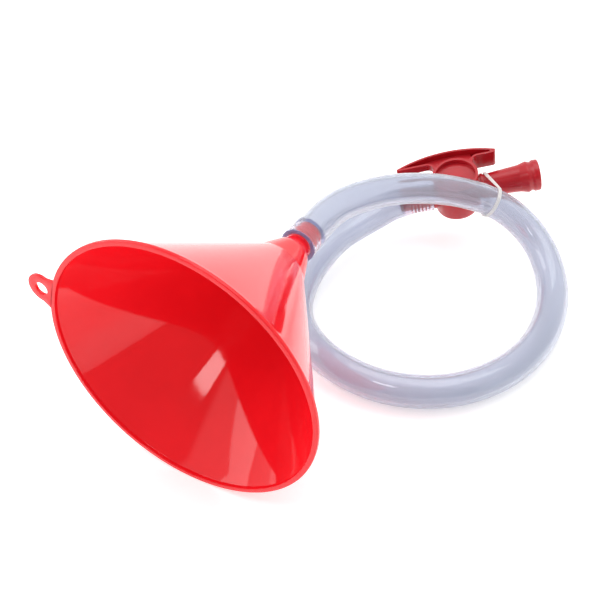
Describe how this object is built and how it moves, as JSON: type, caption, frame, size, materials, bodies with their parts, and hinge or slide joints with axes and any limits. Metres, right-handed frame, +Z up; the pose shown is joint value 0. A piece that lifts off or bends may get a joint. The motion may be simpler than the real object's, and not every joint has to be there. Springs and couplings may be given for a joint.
{
  "type": "funnel",
  "caption": "Wide conical funnel with a hang tab, a clear hose pushed on its ribbed spout and tied in a loop, and a quarter-turn lever valve with a rounded mouthpiece.",
  "frame": {"origin": "centre of the funnel's mouth, in the plane of its rim", "axes": "+Y along the funnel's axis from the mouth to the spout; +Z up, with the rim's edge standing on the surface at z = -0.095; +X to the right seen from the mouth"},
  "size_m": [0.292, 0.3931, 0.19],
  "materials": {
    "funnel_plastic": "glossy moulded red plastic",
    "clear_vinyl": "clear flexible vinyl",
    "tie_nylon": "natural nylon",
    "valve_plastic": "satin moulded red plastic",
    "seal_rubber": "soft rubber"
  },
  "bodies": {
    "frame": {"funnel": "funnel_plastic", "hose": "clear_vinyl", "cable_tie": "tie_nylon", "valve_body": "valve_plastic", "mouthpiece": "valve_plastic", "inlet_seal": "seal_rubber", "outlet_seal": "seal_rubber", "retaining_ring": "valve_plastic"},
    "lever": {"lever": "valve_plastic", "valve_plug": "valve_plastic", "upper_oring": "seal_rubber", "lower_oring": "seal_rubber"}
  },
  "joints": [
    {"name": "valve_turn", "type": "hinge", "parent": "frame", "child": "lever", "pos_m": [0.0556, 0.3479, -0.0459], "axis": [-0.0804, -0.318, 0.9447], "range_deg": [0, 90]}
  ]
}
